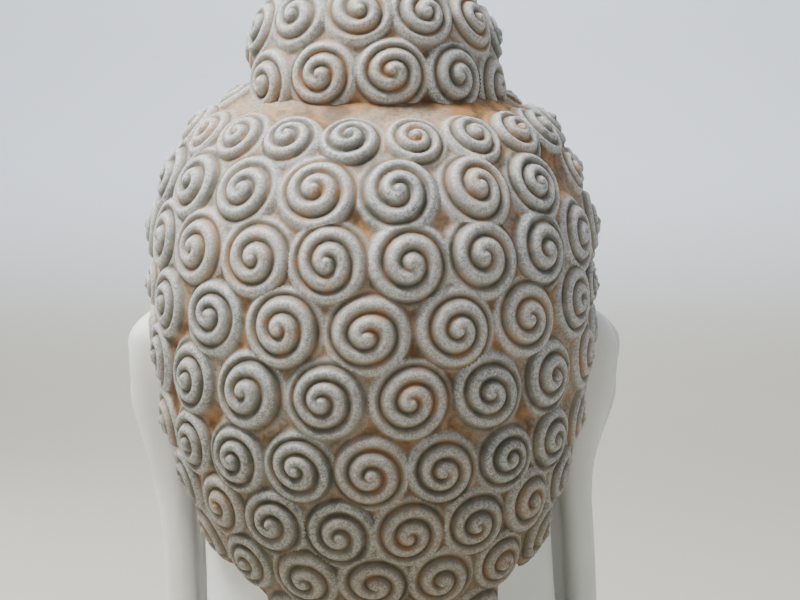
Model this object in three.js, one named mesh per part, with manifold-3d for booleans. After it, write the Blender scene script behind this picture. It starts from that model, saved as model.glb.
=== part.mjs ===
// A cast ceramic Buddha head with a topknot, snail-shell curls and long ears, cut flat below the neck.
// Millimetres, +Z up. The face looks along -Y and the underside stands on Z = 0, centred on the origin.

import * as THREE from "three";
import { mergeVertices } from "three/addons/utils/BufferGeometryUtils.js";
import { ConvexHull } from "three/addons/math/ConvexHull.js";
import Module from "manifold-3d";

const wasm = await Module();
wasm.setup();

// Overall height, from the underside to the top of the topknot's curls.
const height = 375;

// Skull under the curls: an egg, widest at skullLevel, whose lower tip leans back to the nape.
const skullWidth = 194;
const skullDepth = 205;
const skullLevel = 0.576 * height;
const skullTop = 0.825 * height;
const napeLevel = 0.155 * height;
const skullOffset = 6.5;
const napeLean = 53.5;
const crownFullness = 2.6;
const napeFullness = 0.86;
const leanPower = 1.8;

// Topknot: a dome that sits towards the back of the crown.
const topknotWidth = 108;
const topknotLevel = 0.795 * height;
const topknotOffset = 19;

// Curls: low snail-shell domes on a thin cap of hair.
const curlPitch = 34;
const curlRise = 7.5;
const capRise = 2;

// Face: an egg in front of the skull, with its features raised on it.
const faceWidth = 186;
const jawWidth = 152;
const faceFront = 98;
const chinLevel = 0.18 * height;
const hairlineLevel = 0.655 * height;
const browLevel = 0.533 * height;
const eyeLevel = 0.475 * height;
const noseLevel = 0.377 * height;
const mouthLevel = 0.303 * height;
const eyeSpacing = 70;
const noseLength = 20;

// Neck: an oval column that spreads a little to the underside, with three creases.
const neckWidth = 157;
const neckDepth = 128;
const neckOffset = 4;
const neckTop = 0.35 * height;
const baseSpread = 6;
const neckSides = 26;
const creaseDepth = 2;
const creaseLevels = [0.055, 0.095, 0.135].map((share) => share * height);

// Ears: from the temple down to long straight lobes, which stand clear of the neck.
const earTop = 0.547 * height;
const earBottom = 0.075 * height;
const earThickness = 14;
const lobeGap = 6;
const lobeDepth = 33;
const earFlare = 17;

// How softly one form runs into the next.
const fillet = 2.5;

const full = 2 * Math.PI;
const radians = THREE.MathUtils.degToRad;
const degrees = THREE.MathUtils.radToDeg;
const { lerp, clamp, smoothstep } = THREE.MathUtils;

/** Half width, half depth and middle of the skull's level section. */
function skullSection(z) {
  const above = clamp((z - skullLevel) / (skullTop - skullLevel), 0, 1);
  const below = clamp((skullLevel - z) / (skullLevel - napeLevel), 0, 1);
  const crown = 1 - above ** crownFullness;
  const round = 1 - below ** 2;
  return {
    halfWidth: (skullWidth / 2) * crown ** (1 / crownFullness) * Math.sqrt(round),
    halfDepth: (skullDepth / 2) * Math.sqrt(1 - above ** 2) * round ** napeFullness,
    middle: skullOffset + napeLean * below ** leanPower,
  };
}

/** Half width, half depth and middle of the face's level section. */
function faceSection(z) {
  const share = clamp((z - chinLevel) / (hairlineLevel - chinLevel), 0, 1.1);
  const jaw = Math.sqrt(1 - (1 - Math.min(share / 0.4, 1)) ** 2);
  const wide = lerp(jawWidth, faceWidth, smoothstep(share, 0.15, 0.75)) / 2;
  const forehead = 1 - 0.1 * smoothstep(share, 0.7, 1.1) ** 2;
  const middle = lerp(-64, -10, smoothstep(share, 0, 0.45));
  return {
    halfWidth: wide * jaw * forehead,
    halfDepth: (faceFront + middle) * Math.sqrt(1 - (1 - Math.min((share + 0.02) / 0.14, 1)) ** 2) * forehead,
    middle,
  };
}

/** Half width, half depth and middle of the neck's level section. */
function neckSection(z) {
  const spread = baseSpread * clamp(1 - z / neckTop, 0, 1.2) ** 3;
  const crease = creaseLevels.reduce((sum, level) => sum + Math.exp(-(((z - level) / 3.5) ** 2)), 0);
  const out = spread - creaseDepth * crease;
  return { halfWidth: neckWidth / 2 + out, halfDepth: neckDepth / 2 + out, middle: neckOffset };
}

/** One smooth bump, 1 at its middle and falling away over the given half sizes. */
function bump(x, z, atX, atZ, halfWidth, halfHeight) {
  return Math.exp(-(((x - atX) / halfWidth) ** 2) - ((z - atZ) / halfHeight) ** 2);
}

/** How far the face's features stand forward of its egg, the same on both sides. */
function features(x, z) {
  const side = Math.abs(x);
  const eyeX = eyeSpacing / 2;
  const arch = browLevel + 2 - ((side - eyeX) / 15) ** 2;
  const brow = 3 * Math.exp(-(((z - arch) / 5) ** 2)) * smoothstep(72 - side, 0, 20);
  const socket = -9 * bump(side, z, eyeX - 5, eyeLevel + 4, 25, 12);
  const lid = 10 * bump(side, z, eyeX, eyeLevel - 1, 18, 9);
  const slit = -2.5 * bump(side, z, eyeX, eyeLevel - 6, 17, 2.5);
  const along = clamp((browLevel - z) / (browLevel - noseLevel), 0, 1);
  const bridge = lerp(6, noseLength, along ** 1.2) * Math.exp(-((side / lerp(8, 12, along)) ** 2));
  const nose = bridge * smoothstep(z, noseLevel - 8, noseLevel + 2) * smoothstep(browLevel + 12 - z, 0, 14);
  const wing = 9 * bump(side, z, 14, noseLevel + 2, 7, 7);
  const upperLip = 7 * bump(side, z, 6, mouthLevel + 5, 18, 5);
  const lowerLip = 7 * bump(side, z, 0, mouthLevel - 7, 18, 5.5);
  const mouthLine = -3 * bump(side, z, 0, mouthLevel - 1, 24, 2.2);
  const muzzle = 4 * bump(side, z, 0, mouthLevel, 34, 22);
  const chin = 7 * bump(side, z, 0, chinLevel + 16, 22, 13);
  const cheek = 4 * bump(side, z, 46, noseLevel + 10, 24, 26);
  return brow + socket + lid + slit + nose + wing + upperLip + lowerLip + mouthLine + muzzle + chin + cheek;
}

/** How deep the point (x, y) lies inside an oval section, in millimetres; outside it is negative. */
function ovalDepth(x, y, { halfWidth, halfDepth, middle }) {
  const away = Math.hypot(x, y - middle);
  const share = Math.hypot(x / Math.max(halfWidth, 0.1), (y - middle) / Math.max(halfDepth, 0.1));
  return away / Math.max(share, 1e-6) - away;
}

/** How deep a point lies inside each form of the bare head; outside it is negative. */
function depths({ x, y, z }) {
  const knotRise = height - curlRise - capRise - topknotLevel;
  const knotRadius = topknotWidth / 2;
  const knot = Math.hypot(x / knotRadius, (y - topknotOffset) / knotRadius, (z - topknotLevel) / knotRise);
  const crown = Math.min(skullTop - z, z - napeLevel);
  const faceSpan = Math.min(hairlineLevel + 25 - z, z - chinLevel + 1);
  const forward = smoothstep(-y, 30, 60);
  const ended = (depth, span) => (span > 0 ? depth : Math.min(depth, span - 1));
  return {
    topknot: (1 - knot) * knotRadius,
    skull: ended(ovalDepth(x, y, skullSection(z)), crown),
    face: ended(ovalDepth(x, y + forward * features(x, z), faceSection(z)), faceSpan),
    neck: ended(ovalDepth(x, y, neckSection(z)), neckTop - z),
  };
}

/** The skull with the face and the neck, filleted where they meet, without hair or ears. */
const headForm = {
  heart: new THREE.Vector3(0, 12, 0.5 * height),
  depth(point) {
    const { skull, face, neck } = depths(point);
    const sum = [skull, face, neck].reduce((all, depth) => all + Math.exp(clamp(depth / fillet, -60, 60)), 0);
    return fillet * Math.log(sum);
  },
};

const topknotForm = {
  heart: new THREE.Vector3(0, topknotOffset, topknotLevel - 12),
  depth: (point) => depths(point).topknot,
};

// Every point of a form's surface can be seen from its heart, so a direction names one point of it.
const farthest = 0.8 * height;
const towards = (point, form) => point.clone().sub(form.heart).normalize();

function surfaceAt(direction, form) {
  const at = (distance) => form.heart.clone().addScaledVector(direction, distance);
  let outside = farthest;
  while (outside > 3 && form.depth(at(outside - 3)) < 0) outside -= 3;
  let inside = outside - 3;
  for (let step = 0; step < 12; step++) {
    const middle = (inside + outside) / 2;
    if (form.depth(at(middle)) < 0) outside = middle;
    else inside = middle;
  }
  return at(inside);
}

/** The direction straight out of a form's surface at a point of it. */
function normalAt(point, form) {
  const slope = (axis) => {
    const step = new THREE.Vector3().setComponent(axis, 0.5);
    return form.depth(point.clone().sub(step)) - form.depth(point.clone().add(step));
  };
  return new THREE.Vector3(slope(0), slope(1), slope(2)).normalize();
}

// The hair's edge: level, as a share of the height, against degrees from the back of the head.
const hairEdge = new THREE.SplineCurve(
  [
    [-1, 0.1],
    [70, 0.1],
    [90, 0.2],
    [98, 0.42],
    [105, 0.545],
    [125, 0.58],
    [150, 0.645],
    [181, 0.662],
  ].map(([angle, share]) => new THREE.Vector2(angle, share * height)),
);

/** Angle round the head from the back of the skull, in radians. */
function angleOf(point) {
  const { halfWidth, halfDepth, middle } = skullSection(clamp(point.z, napeLevel + 20, skullTop - 20));
  return Math.atan2(point.x / halfWidth, (point.y - middle) / halfDepth);
}

function hairEdgeLevel(angle) {
  const wanted = Math.abs(degrees(Math.atan2(Math.sin(angle), Math.cos(angle))));
  let low = 0;
  let high = 1;
  for (let step = 0; step < 16; step++) {
    const middle = (low + high) / 2;
    if (hairEdge.getPoint(middle).x < wanted) low = middle;
    else high = middle;
  }
  return hairEdge.getPoint(low).y;
}

/** Whether a point of the bare head's surface is under hair: above the hair's edge, and off the neck. */
function inHair(point) {
  const { skull, neck, face, topknot } = depths(point);
  const angle = angleOf(point);
  if (topknot > skull) return true;
  return point.z > hairEdgeLevel(angle) && (Math.abs(degrees(angle)) > 100 || skull > Math.max(neck, face));
}

// Rows of curls on the skull: level at the back and how fast the row climbs towards the face; and for
// every row, how many go once round, the angle of the first in degrees, and the radius against the pitch.
const skullRows = [
  { level: 0.713, climb: 0.22, count: 22, first: 4.5, radius: 0.41 },
  { level: 0.657, climb: 0.21, count: 19, first: -7, radius: 0.52 },
  { level: 0.588, climb: 0.23, count: 20, first: 9, radius: 0.53 },
  { level: 0.519, climb: 0.245, count: 18, first: 0, radius: 0.53 },
  { level: 0.449, climb: 0.34, count: 18, first: 10, radius: 0.52 },
  { level: 0.376, climb: 0.45, count: 22, first: 0.5, radius: 0.45 },
  { level: 0.311, climb: 0.55, count: 20, first: 8.5, radius: 0.44 },
  { level: 0.257, climb: 0.6, count: 18, first: -1, radius: 0.43 },
  { level: 0.203, climb: 0.5, count: 16, first: 11, radius: 0.42 },
];
const topknotRows = [
  { level: 0.797, count: 12, first: 21, radius: 0.48 },
  { level: 0.864, count: 12, first: 5.5, radius: 0.46 },
  { level: 0.925, count: 8, first: 20, radius: 0.44 },
  { level: 0.962, count: 4, first: 30, radius: 0.4 },
  { level: 0.974, count: 1, first: 0, radius: 0.38 },
];

// The curls along the hair's edge over the face, and the small ones that close what gaps the rows leave.
const browCurls = 11;
const browCurl = 0.42;
const fillerCurls = [
  { radius: 0.36, apart: 0.92, fromAngle: 0 },
  { radius: 0.3, apart: 0.86, fromAngle: 80 },
];

// How near two curls come, against the sum of their radii, and how deep one may sink into another form.
const closest = { topknot: 0.7, row: 0.72, brow: 0.8 };
const sunk = { intoTopknot: 0.4, intoSkull: 0.3 };

/** A point of the skull; the angle runs round from the back, 0, to the face, a half turn. */
function skullPoint(angle, z) {
  const { halfWidth, halfDepth, middle } = skullSection(z);
  return new THREE.Vector3(halfWidth * Math.sin(angle), middle + halfDepth * Math.cos(angle), z);
}

function topknotPoint(angle, z) {
  const rise = clamp((z - topknotLevel) / (height - curlRise - capRise - topknotLevel), -1, 1);
  const radius = (topknotWidth / 2) * Math.sqrt(1 - rise ** 2);
  return new THREE.Vector3(radius * Math.sin(angle), topknotOffset + radius * Math.cos(angle), z);
}

/** Where a row that climbs towards the face crosses the skull at this angle. */
function rowLevel(row, angle) {
  const start = row.level * height;
  const back = skullPoint(0, start).y;
  let z = start;
  for (let step = 0; step < 24; step++) z = start + row.climb * (back - skullPoint(angle, z).y);
  return z;
}

/** Every curl: its form, its centre on the bare surface, its radius and where its whorl starts. */
function curlLayout() {
  const all = [];
  const add = (form, point, share, apart) => {
    const centre = surfaceAt(towards(point, form), form);
    const radius = share * curlPitch;
    const buried = form === headForm && depths(centre).topknot > -sunk.intoTopknot * radius;
    if (buried || (form === headForm && !inHair(centre))) return;
    if (form === topknotForm && depths(centre).skull > -sunk.intoSkull * radius) return;
    if (all.some((other) => other.centre.distanceTo(centre) < apart * (other.radius + radius))) return;
    all.push({ form, centre, radius, normal: normalAt(centre, form), start: 2.4 * all.length });
  };
  for (const { level, count, first, radius } of topknotRows) {
    for (let i = 0; i < count; i++)
      add(topknotForm, topknotPoint(radians(first) + (i * full) / count, level * height), radius, closest.topknot);
  }
  const addRows = (fromAngle, toAngle) => {
    for (const row of skullRows) {
      for (let i = 0; i < row.count; i++) {
        const angle = radians(row.first) + (i * full) / row.count;
        const turned = Math.abs(degrees(Math.atan2(Math.sin(angle), Math.cos(angle))));
        const z = rowLevel(row, angle);
        const clear = z - 0.6 * row.radius * curlPitch > hairEdgeLevel(angle);
        if (clear && turned >= fromAngle && turned < toAngle) {
          add(headForm, skullPoint(angle, z), row.radius, closest.row);
        }
      }
    }
  };
  addRows(0, 85);
  for (let i = 0; i < browCurls; i++) {
    const angle = radians(lerp(102, 258, i / (browCurls - 1)));
    const point = skullPoint(angle, hairEdgeLevel(angle) + 0.8 * browCurl * curlPitch);
    add(headForm, point, browCurl, closest.brow);
  }
  addRows(85, 181);
  const tries = 1500;
  for (const { radius, apart, fromAngle } of fillerCurls) {
    for (let i = 0; i < tries; i++) {
      const point = headForm.heart.clone().addScaledVector(spiralDirection(i, tries), 100);
      if (Math.abs(degrees(angleOf(point))) >= fromAngle) add(headForm, point, radius, apart);
    }
  }
  return all;
}

/** One of many directions spread evenly over a ball. */
function spiralDirection(i, count) {
  const up = 1 - (2 * (i + 0.5)) / count;
  const turn = i * Math.PI * (3 - Math.sqrt(5));
  const flat = Math.sqrt(1 - up ** 2);
  return new THREE.Vector3(flat * Math.cos(turn), flat * Math.sin(turn), up);
}

const curls = curlLayout();

// A curl's section from its middle, 0, to its foot, 1: crown and shoulder, then the foot. The whorl lets
// each ring wind inwards and upwards, like a snail shell.
const curlRings = [
  { out: 0.34, rise: 0.84, points: 5 },
  { out: 0.68, rise: 0.7, points: 8 },
];
const footPoints = 9;
const whorl = { in: 0.08, up: 0.24 };

/** How far out on the nearest curl a point of the bare head lies: 0 at its middle, 1 at its foot. */
function outOnNearest(point, except) {
  const outs = curls.map((curl) => (curl === except ? Infinity : curl.centre.distanceTo(point) / curl.radius));
  return Math.min(...outs);
}

/** The point of the bare surface that lies out on a curl, at an angle round it. */
function onCurl({ form, centre, radius, normal }, out, angle) {
  const facing = new THREE.Quaternion().setFromUnitVectors(new THREE.Vector3(0, 0, 1), normal);
  const offset = new THREE.Vector3(Math.cos(angle), Math.sin(angle), 0).multiplyScalar(out * radius);
  return surfaceAt(towards(centre.clone().add(offset.applyQuaternion(facing)), form), form);
}

/** Points of a form's bare surface that get a vertex, each with where the vertex stands. */
function sampler(form) {
  const taken = [];
  const add = (point, raised, spacing, normal = normalAt(point, form)) => {
    if (taken.some((other) => other.point.distanceTo(point) < spacing)) return;
    taken.push({ point, place: point.clone().addScaledVector(normal, raised) });
  };
  const own = curls.filter((curl) => curl.form === form);
  for (const { centre, normal } of own) add(centre, capRise + curlRise, 1, normal);
  for (const ring of curlRings) {
    for (const curl of own) {
      for (let i = 0; i < ring.points; i++) {
        const turned = 0.5 - i / ring.points;
        const out = ring.out + whorl.in * turned;
        const point = onCurl(curl, out, curl.start - (i * full) / ring.points);
        const rise = curlRise * (ring.rise - whorl.up * turned);
        if (outOnNearest(point, curl) > out + 0.08) add(point, capRise + rise, 2, curl.normal);
      }
    }
  }
  for (const curl of own) {
    for (let i = 0; i < footPoints; i++) {
      const angle = curl.start + (i * full) / footPoints;
      let out = 1.02;
      while (out > 0.8 && outOnNearest(onCurl(curl, out, angle), curl) < out) out -= 0.03;
      if (out > 0.8) add(onCurl(curl, out, angle), capRise, 2.4);
    }
  }
  return { taken, add };
}

/** Fills the bare stretches between the points already taken. */
function fill({ add }, form, spacing, raisedAt) {
  const count = 2600;
  for (let i = 0; i < count; i++) {
    const point = surfaceAt(spiralDirection(i, count), form);
    add(point, raisedAt(point), point.z < -8 ? 40 : spacing);
  }
}

function topknotSamples() {
  const sampled = sampler(topknotForm);
  fill(sampled, topknotForm, 11, () => capRise);
  return sampled.taken;
}

function headSamples() {
  const sampled = sampler(headForm);
  const { add } = sampled;
  const at = (point) => surfaceAt(towards(point, headForm), headForm);
  const edgeSteps = 56;
  for (let i = 0; i < edgeSteps; i++) {
    const angle = ((i + 0.5) * full) / edgeSteps;
    const level = hairEdgeLevel(angle);
    add(at(skullPoint(angle, level + 1.5)), capRise, 2.5);
    add(at(skullPoint(angle, level - 1.5)), 0, 2.5);
  }
  const facePoints = (reachX, fromZ, toZ, step) => {
    for (let z = fromZ; z <= toZ; z += step) {
      for (let x = 0; x <= reachX; x += step) {
        const y = -faceFront * Math.sqrt(1 - 3 * Math.min(x / faceWidth, 0.5) ** 2);
        for (const side of x > 0 ? [1, -1] : [1]) {
          const point = at(new THREE.Vector3(side * x, y, z));
          if (!inHair(point)) add(point, 0, 0.72 * step);
        }
      }
    }
  };
  facePoints(46, mouthLevel - 18, browLevel + 8, 5.2);
  facePoints(84, chinLevel - 6, hairlineLevel, 9);
  const creaseGap = (creaseLevels[1] - creaseLevels[0]) / 2;
  const neckLevels = [-14, 6, ...creaseLevels.flatMap((level) => [level, level + creaseGap])];
  for (const level of neckLevels) {
    const { halfWidth, halfDepth, middle } = neckSection(level);
    for (let i = 0; i < neckSides; i++) {
      const angle = ((i + 0.5) * full) / neckSides;
      const point = new THREE.Vector3(halfWidth * Math.sin(angle), middle + halfDepth * Math.cos(angle), level);
      if (!inHair(point)) add(at(point), 0, 5);
    }
  }
  fill(sampled, headForm, 10.5, (point) => (inHair(point) ? capRise : 0));
  return sampled.taken;
}

/** The closed surface through every sample's place, joined up as the samples lie round the heart. */
function skin(form, samples) {
  const directions = samples.map(({ point }) => towards(point, form));
  const numbers = new Map(directions.map((direction, i) => [direction, i]));
  const index = [];
  for (const face of new ConvexHull().setFromPoints(directions).faces) {
    const corners = [];
    let edge = face.edge;
    do {
      corners.push(numbers.get(edge.head().point));
      edge = edge.next;
    } while (edge !== face.edge);
    for (let i = 1; i + 1 < corners.length; i++) index.push(corners[0], corners[i], corners[i + 1]);
  }
  const geometry = new THREE.BufferGeometry();
  const positions = samples.flatMap(({ place }) => place.toArray());
  geometry.setAttribute("position", new THREE.Float32BufferAttribute(positions, 3));
  geometry.setIndex(index);
  return geometry;
}

/** A closed column whose sections are given by place(angle, share), with share going 0 to 1 upwards. */
function column(sides, rings, place) {
  const geometry = new THREE.CylinderGeometry(1, 1, 1, sides, rings);
  geometry.deleteAttribute("normal");
  geometry.deleteAttribute("uv");
  const merged = mergeVertices(geometry, 1e-5);
  const position = merged.getAttribute("position");
  for (let i = 0; i < position.count; i++) {
    const [x, y, z] = [position.getX(i), position.getY(i), position.getZ(i)];
    const share = y + 0.5;
    const angle = Math.atan2(-x, z);
    const onSide = Math.hypot(x, z) > 0.5;
    const point = onSide ? place(angle, share) : place(0, share).lerp(place(Math.PI, share), 0.5);
    position.setXYZ(i, point.x, point.y, point.z);
  }
  return merged;
}

/** One ear, on the side given by sign. Its lobe hangs clear of the neck by lobeGap. */
function ear(sign) {
  const lobeIn = neckWidth / 2 + lobeGap;
  return column(10, 14, (angle, share) => {
    const z = lerp(earBottom, earTop, share);
    const bottom = Math.sqrt(1 - clamp(1 - share / 0.05, 0, 1) ** 2);
    const top = Math.sqrt(1 - clamp((share - 0.86) / 0.15, 0, 1) ** 2);
    const shell = smoothstep(share, 0.5, 0.85) * top;
    const outer = lobeIn + earThickness + earFlare * shell * smoothstep(share, 0.45, 0.9);
    const inner = lerp(lobeIn, skullWidth / 2 - 12, smoothstep(share, 0.42, 0.62));
    const halfX = ((outer - inner) / 2) * lerp(0.75, 1, bottom);
    const halfY = (lobeDepth / 2) * lerp(0.7, 1, bottom) * lerp(1, 1.35, shell);
    const x = (outer + inner) / 2 + halfX * Math.sin(angle) * sign;
    return new THREE.Vector3(sign * x, lerp(-12, -6, share) + halfY * Math.cos(angle), z);
  });
}

/** The web that joins a lobe to the jaw and the neck along its front. */
function lobeWeb(sign) {
  const from = neckWidth / 2 - 14;
  const to = neckWidth / 2 + lobeGap + earThickness / 2;
  return column(8, 4, (angle, share) => {
    const x = lerp(from, to, (Math.sin(angle) * sign + 1) / 2);
    return new THREE.Vector3(sign * x, -19 + 6 * Math.cos(angle), lerp(earBottom + 8, 0.45 * height, share));
  });
}

function solid(geometry) {
  const vertProperties = new Float32Array(geometry.getAttribute("position").array);
  const triVerts = new Uint32Array(geometry.index.array);
  return new wasm.Manifold(new wasm.Mesh({ numProp: 3, vertProperties, triVerts }));
}

/** A block whose top is the plane that the head stands on. */
function ground() {
  const block = new THREE.BoxGeometry(height, height, height).translate(0, 0, -height / 2);
  block.deleteAttribute("normal");
  block.deleteAttribute("uv");
  return mergeVertices(block);
}

function headGeometry() {
  const pieces = [skin(headForm, headSamples()), skin(topknotForm, topknotSamples())];
  for (const sign of [-1, 1]) pieces.push(ear(sign), lobeWeb(sign));
  const whole = wasm.Manifold.union(pieces.map(solid)).subtract(solid(ground()));
  const mesh = whole.getMesh();
  const geometry = new THREE.BufferGeometry();
  geometry.setAttribute("position", new THREE.BufferAttribute(new Float32Array(mesh.vertProperties), 3));
  geometry.setIndex(new THREE.BufferAttribute(new Uint32Array(mesh.triVerts), 1));
  return geometry;
}

const ceramic = new THREE.MeshStandardMaterial({ color: 0xb9b7ae, roughness: 0.6, metalness: 0 });

const head = new THREE.Mesh(headGeometry(), ceramic);
head.name = "buddha_head";

const group = new THREE.Group();
group.add(head);

export default group;
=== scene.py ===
"""A cast ceramic Buddha head with snail-shell curls, a topknot and long ears, cut flat below the neck.

The forms are worked out in millimetres and scaled to metres when a mesh is written. The face looks
along -Y and the underside stands on Z = 0.
"""

import math

import bmesh
import bpy
import numpy as np
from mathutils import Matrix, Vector


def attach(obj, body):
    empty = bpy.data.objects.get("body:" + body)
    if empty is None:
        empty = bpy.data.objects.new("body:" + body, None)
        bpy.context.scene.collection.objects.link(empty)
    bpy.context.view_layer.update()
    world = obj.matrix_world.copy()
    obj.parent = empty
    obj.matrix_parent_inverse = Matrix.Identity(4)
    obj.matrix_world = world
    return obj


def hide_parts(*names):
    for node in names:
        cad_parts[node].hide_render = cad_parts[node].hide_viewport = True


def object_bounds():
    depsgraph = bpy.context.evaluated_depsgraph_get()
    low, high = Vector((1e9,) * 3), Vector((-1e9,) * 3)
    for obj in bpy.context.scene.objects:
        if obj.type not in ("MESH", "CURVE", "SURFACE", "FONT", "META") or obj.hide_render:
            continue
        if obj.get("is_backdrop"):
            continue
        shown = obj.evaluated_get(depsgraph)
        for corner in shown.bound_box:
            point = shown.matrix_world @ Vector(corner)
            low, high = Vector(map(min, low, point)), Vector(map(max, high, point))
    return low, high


bl_info = {
    "name": "Buddha Head",
    "version": (1, 0, 0),
    "blender": (4, 5, 0),
    "location": "3D View > Sidebar > Buddha Head",
    "description": "Builds a cast ceramic Buddha head with snail-shell curls",
    "category": "Add Mesh",
}

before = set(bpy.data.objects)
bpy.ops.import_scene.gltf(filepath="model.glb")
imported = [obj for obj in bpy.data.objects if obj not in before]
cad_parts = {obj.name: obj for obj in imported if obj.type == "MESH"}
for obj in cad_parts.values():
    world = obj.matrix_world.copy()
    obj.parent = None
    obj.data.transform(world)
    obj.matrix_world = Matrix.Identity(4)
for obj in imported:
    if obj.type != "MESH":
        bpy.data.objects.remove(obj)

MM = 0.001
NODE = "buddha_head"
FULL = 2 * math.pi

# The head's surface is measured along rays from a heart inside the skull: its place behind the
# middle, and its level as a share of the height.
HEART_OFFSET = 12
HEART_SHARE = 0.5
LONGEST_RAY = 240.0

# Shape of the skull's egg.
SKULL_OFFSET = 6.5
NAPE_LEAN = 53.5
CROWN_FULLNESS = 2.6
JAW_FULLNESS = 0.57
NAPE_FULLNESS = 0.86
LEAN_POWER = 1.8

# The topknot's place and how deep its own heart sits, the cap of hair on the skull, and the fillet
# where two forms meet.
TOPKNOT_OFFSET = 19
TOPKNOT_SINK = 12
CAP_RISE = 1.2
FILLET = 2.5

# How softly the curls' rims run into each other and into the cap of hair.
RIM_SOFTNESS = 0.7

# The face; the forehead runs on under the hair and closes in a round.
JAW_WIDTH = 152
FACE_FRONT = 98
FOREHEAD_ROUND = 50
EYE_SPACING = 70
NOSE_LENGTH = 18.6

# The neck, its foot and its creases.
NECK_OFFSET = 4
BASE_SPREAD = 6
CREASE_DEPTH = 2
CREASE_WIDTH = 3.5

# The neck's tube: sides, ring spacing, and how far it starts below the cut and ends inside the head.
NECK_SIDES = 180
NECK_STEP = 1.5
NECK_BELOW = 25
NECK_FROM = 62
NECK_OVERLAP = 30

# The web that joins a lobe to the jaw: its place, half its thickness and how far it runs inside.
WEB_PLACE = -19
WEB_HALF = 6.5
WEB_INSIDE = 14

# The skin is one mesh: size of the grid it is fused on, and the share of its triangles kept.
SKIN_GRID = 1.15
SKIN_KEPT = 0.43
HAIR_KEPT = 0.91

# The hair's mesh ends at this level, and past its edge it dives under the skin by these depths.
HAIR_BOTTOM = 22
EDGE_DIVE = 4
FAR_DIVE = 10

# The lobes, clear of the neck by a gap, and how far the ears stand out above them.
LOBE_GAP = 7.5
LOBE_DEPTH = 33
EAR_FLARE = 15.2

# How far up each ear starts to stand out from the head: the head's left, then its right.
FLARE_START = {1: 0.36, -1: 0.47}

# How far the lower head leans to its right, the level where that starts and where it is full.
LEAN = 4
LEAN_LEVELS = (0.42, 0.12)

# The hair's edge: degrees from the back of the head, and the level as a share of the height.
HAIR_EDGE = [
    (-1, 0.1),
    (70, 0.1),
    (90, 0.2),
    (98, 0.42),
    (105, 0.545),
    (125, 0.58),
    (150, 0.645),
    (181, 0.662),
]

# Rows of curls: level at the back as a share of the height, climb towards the face, curls in the
# row, degrees of the first one, and radius as a share of the pitch.
SKULL_ROWS = [
    (0.713, 0.22, 22, 4.5, 0.41),
    (0.657, 0.21, 19, -7, 0.52),
    (0.588, 0.23, 20, 9, 0.53),
    (0.519, 0.245, 18, 0, 0.53),
    (0.449, 0.24, 18, 10, 0.52),
    (0.376, 0.24, 19, -0.3, 0.48),
    (0.311, 0.32, 17, 9.9, 0.48),
    (0.257, 0.34, 14, 1, 0.46),
    (0.203, 0.4, 10, 14, 0.42),
]
TOPKNOT_ROWS = [
    (0.797, 0, 12, 21, 0.48),
    (0.864, 0, 12, 5.5, 0.46),
    (0.925, 0, 8, 20, 0.44),
    (0.962, 0, 4, 30, 0.4),
    (0.974, 0, 1, 0, 0.38),
]
BROW_CURLS = 11
BROW_CURL = 0.42

# Small curls that close the gaps: radius, how near they come to others, and degrees from the back.
FILLER_CURLS = [(0.42, 0.84, 64), (0.36, 0.92, 0), (0.34, 0.82, 64), (0.27, 0.8, 64)]

# A curl's radius, as a share of the pitch, from which it stands at the full rise.
FULL_RISE = 0.38

# A curl's foot against its radius, and how blunt a whorl's ridge is.
CURL_REACH = 1.04
RIDGE_POWER = 0.9

# The knob in the middle of a whorl, as shares of the curl's radius.
KNOB = (0.03, 0.14)

# How near curls may stand to each other, as a share of their two radii together.
ON_TOPKNOT_APART = 0.7
IN_ROW_APART = 0.72
ON_BROW_APART = 0.8

# Colours as they look on a screen.
COLOURS = {
    "dark clay": (100, 73, 42),
    "clay": (166, 120, 72),
    "rubbed clay": (164, 122, 84),
    "brown wash": (142, 128, 108),
    "pale wash": (178, 163, 146),
    "dark grey": (112, 112, 103),
    "grey": (150, 149, 141),
    "beige": (168, 154, 138),
    "silver": (200, 200, 198),
    # Whorl grooves: partly dark paint, partly painted shade.
    "groove": (72, 69, 55),
    "brown groove": (118, 86, 54),
    # Painted shade darkens the hair towards the nape; white leaves the hair's colour as it is.
    "painted shade at the nape": (196, 189, 176),
    "full light": (255, 255, 255),
    "skin": (222, 222, 216),
    "bright skin": (231, 231, 227),
    "soiled skin": (205, 202, 190),
    "floor": (176, 173, 160),
    "wall": (224, 230, 241),
    "sky": (235, 240, 250),
}

# The stage in metres: lights with place, what they look at, width and power in watts.
LIGHTS = {
    "ceiling light": ((0, 0, 3.2), (0, 0, 0.2), 2.4, 50),
    "top light": ((0.5, 0.3, 1.3), (0, 0, 0.2), 0.45, 34),
    "face light": ((0.9, -0.4, 0.9), (0, 0, 0.2), 0.3, 6),
    "wall light": ((0, -2.3, 2.7), (0, -3.4, 0.7), 1.5, 78),
}
SKY_STRENGTH = 0.25
FLOOR_RADIUS = 2.4
COVE_RADIUS = 1.0
WALL_TOP = 3.0
CAMERA_PLACE = (-0.012, 0.644, 0.207)
CAMERA_LENS = 63
CAMERA_SENSOR = 36


def lerp(low, high, share):
    return low + (high - low) * share


def smoothstep(value, low, high):
    share = np.clip((value - low) / (high - low), 0, 1)
    return share * share * (3 - 2 * share)


def unit(vectors):
    return vectors / np.maximum(np.linalg.norm(vectors, axis=-1, keepdims=True), 1e-9)


def paint(name):
    """A named colour as the shader takes it."""
    shares = [value / 255 for value in COLOURS[name]]
    linear = [s / 12.92 if s <= 0.04045 else ((s + 0.055) / 1.055) ** 2.4 for s in shares]
    return (*linear, 1)


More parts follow.
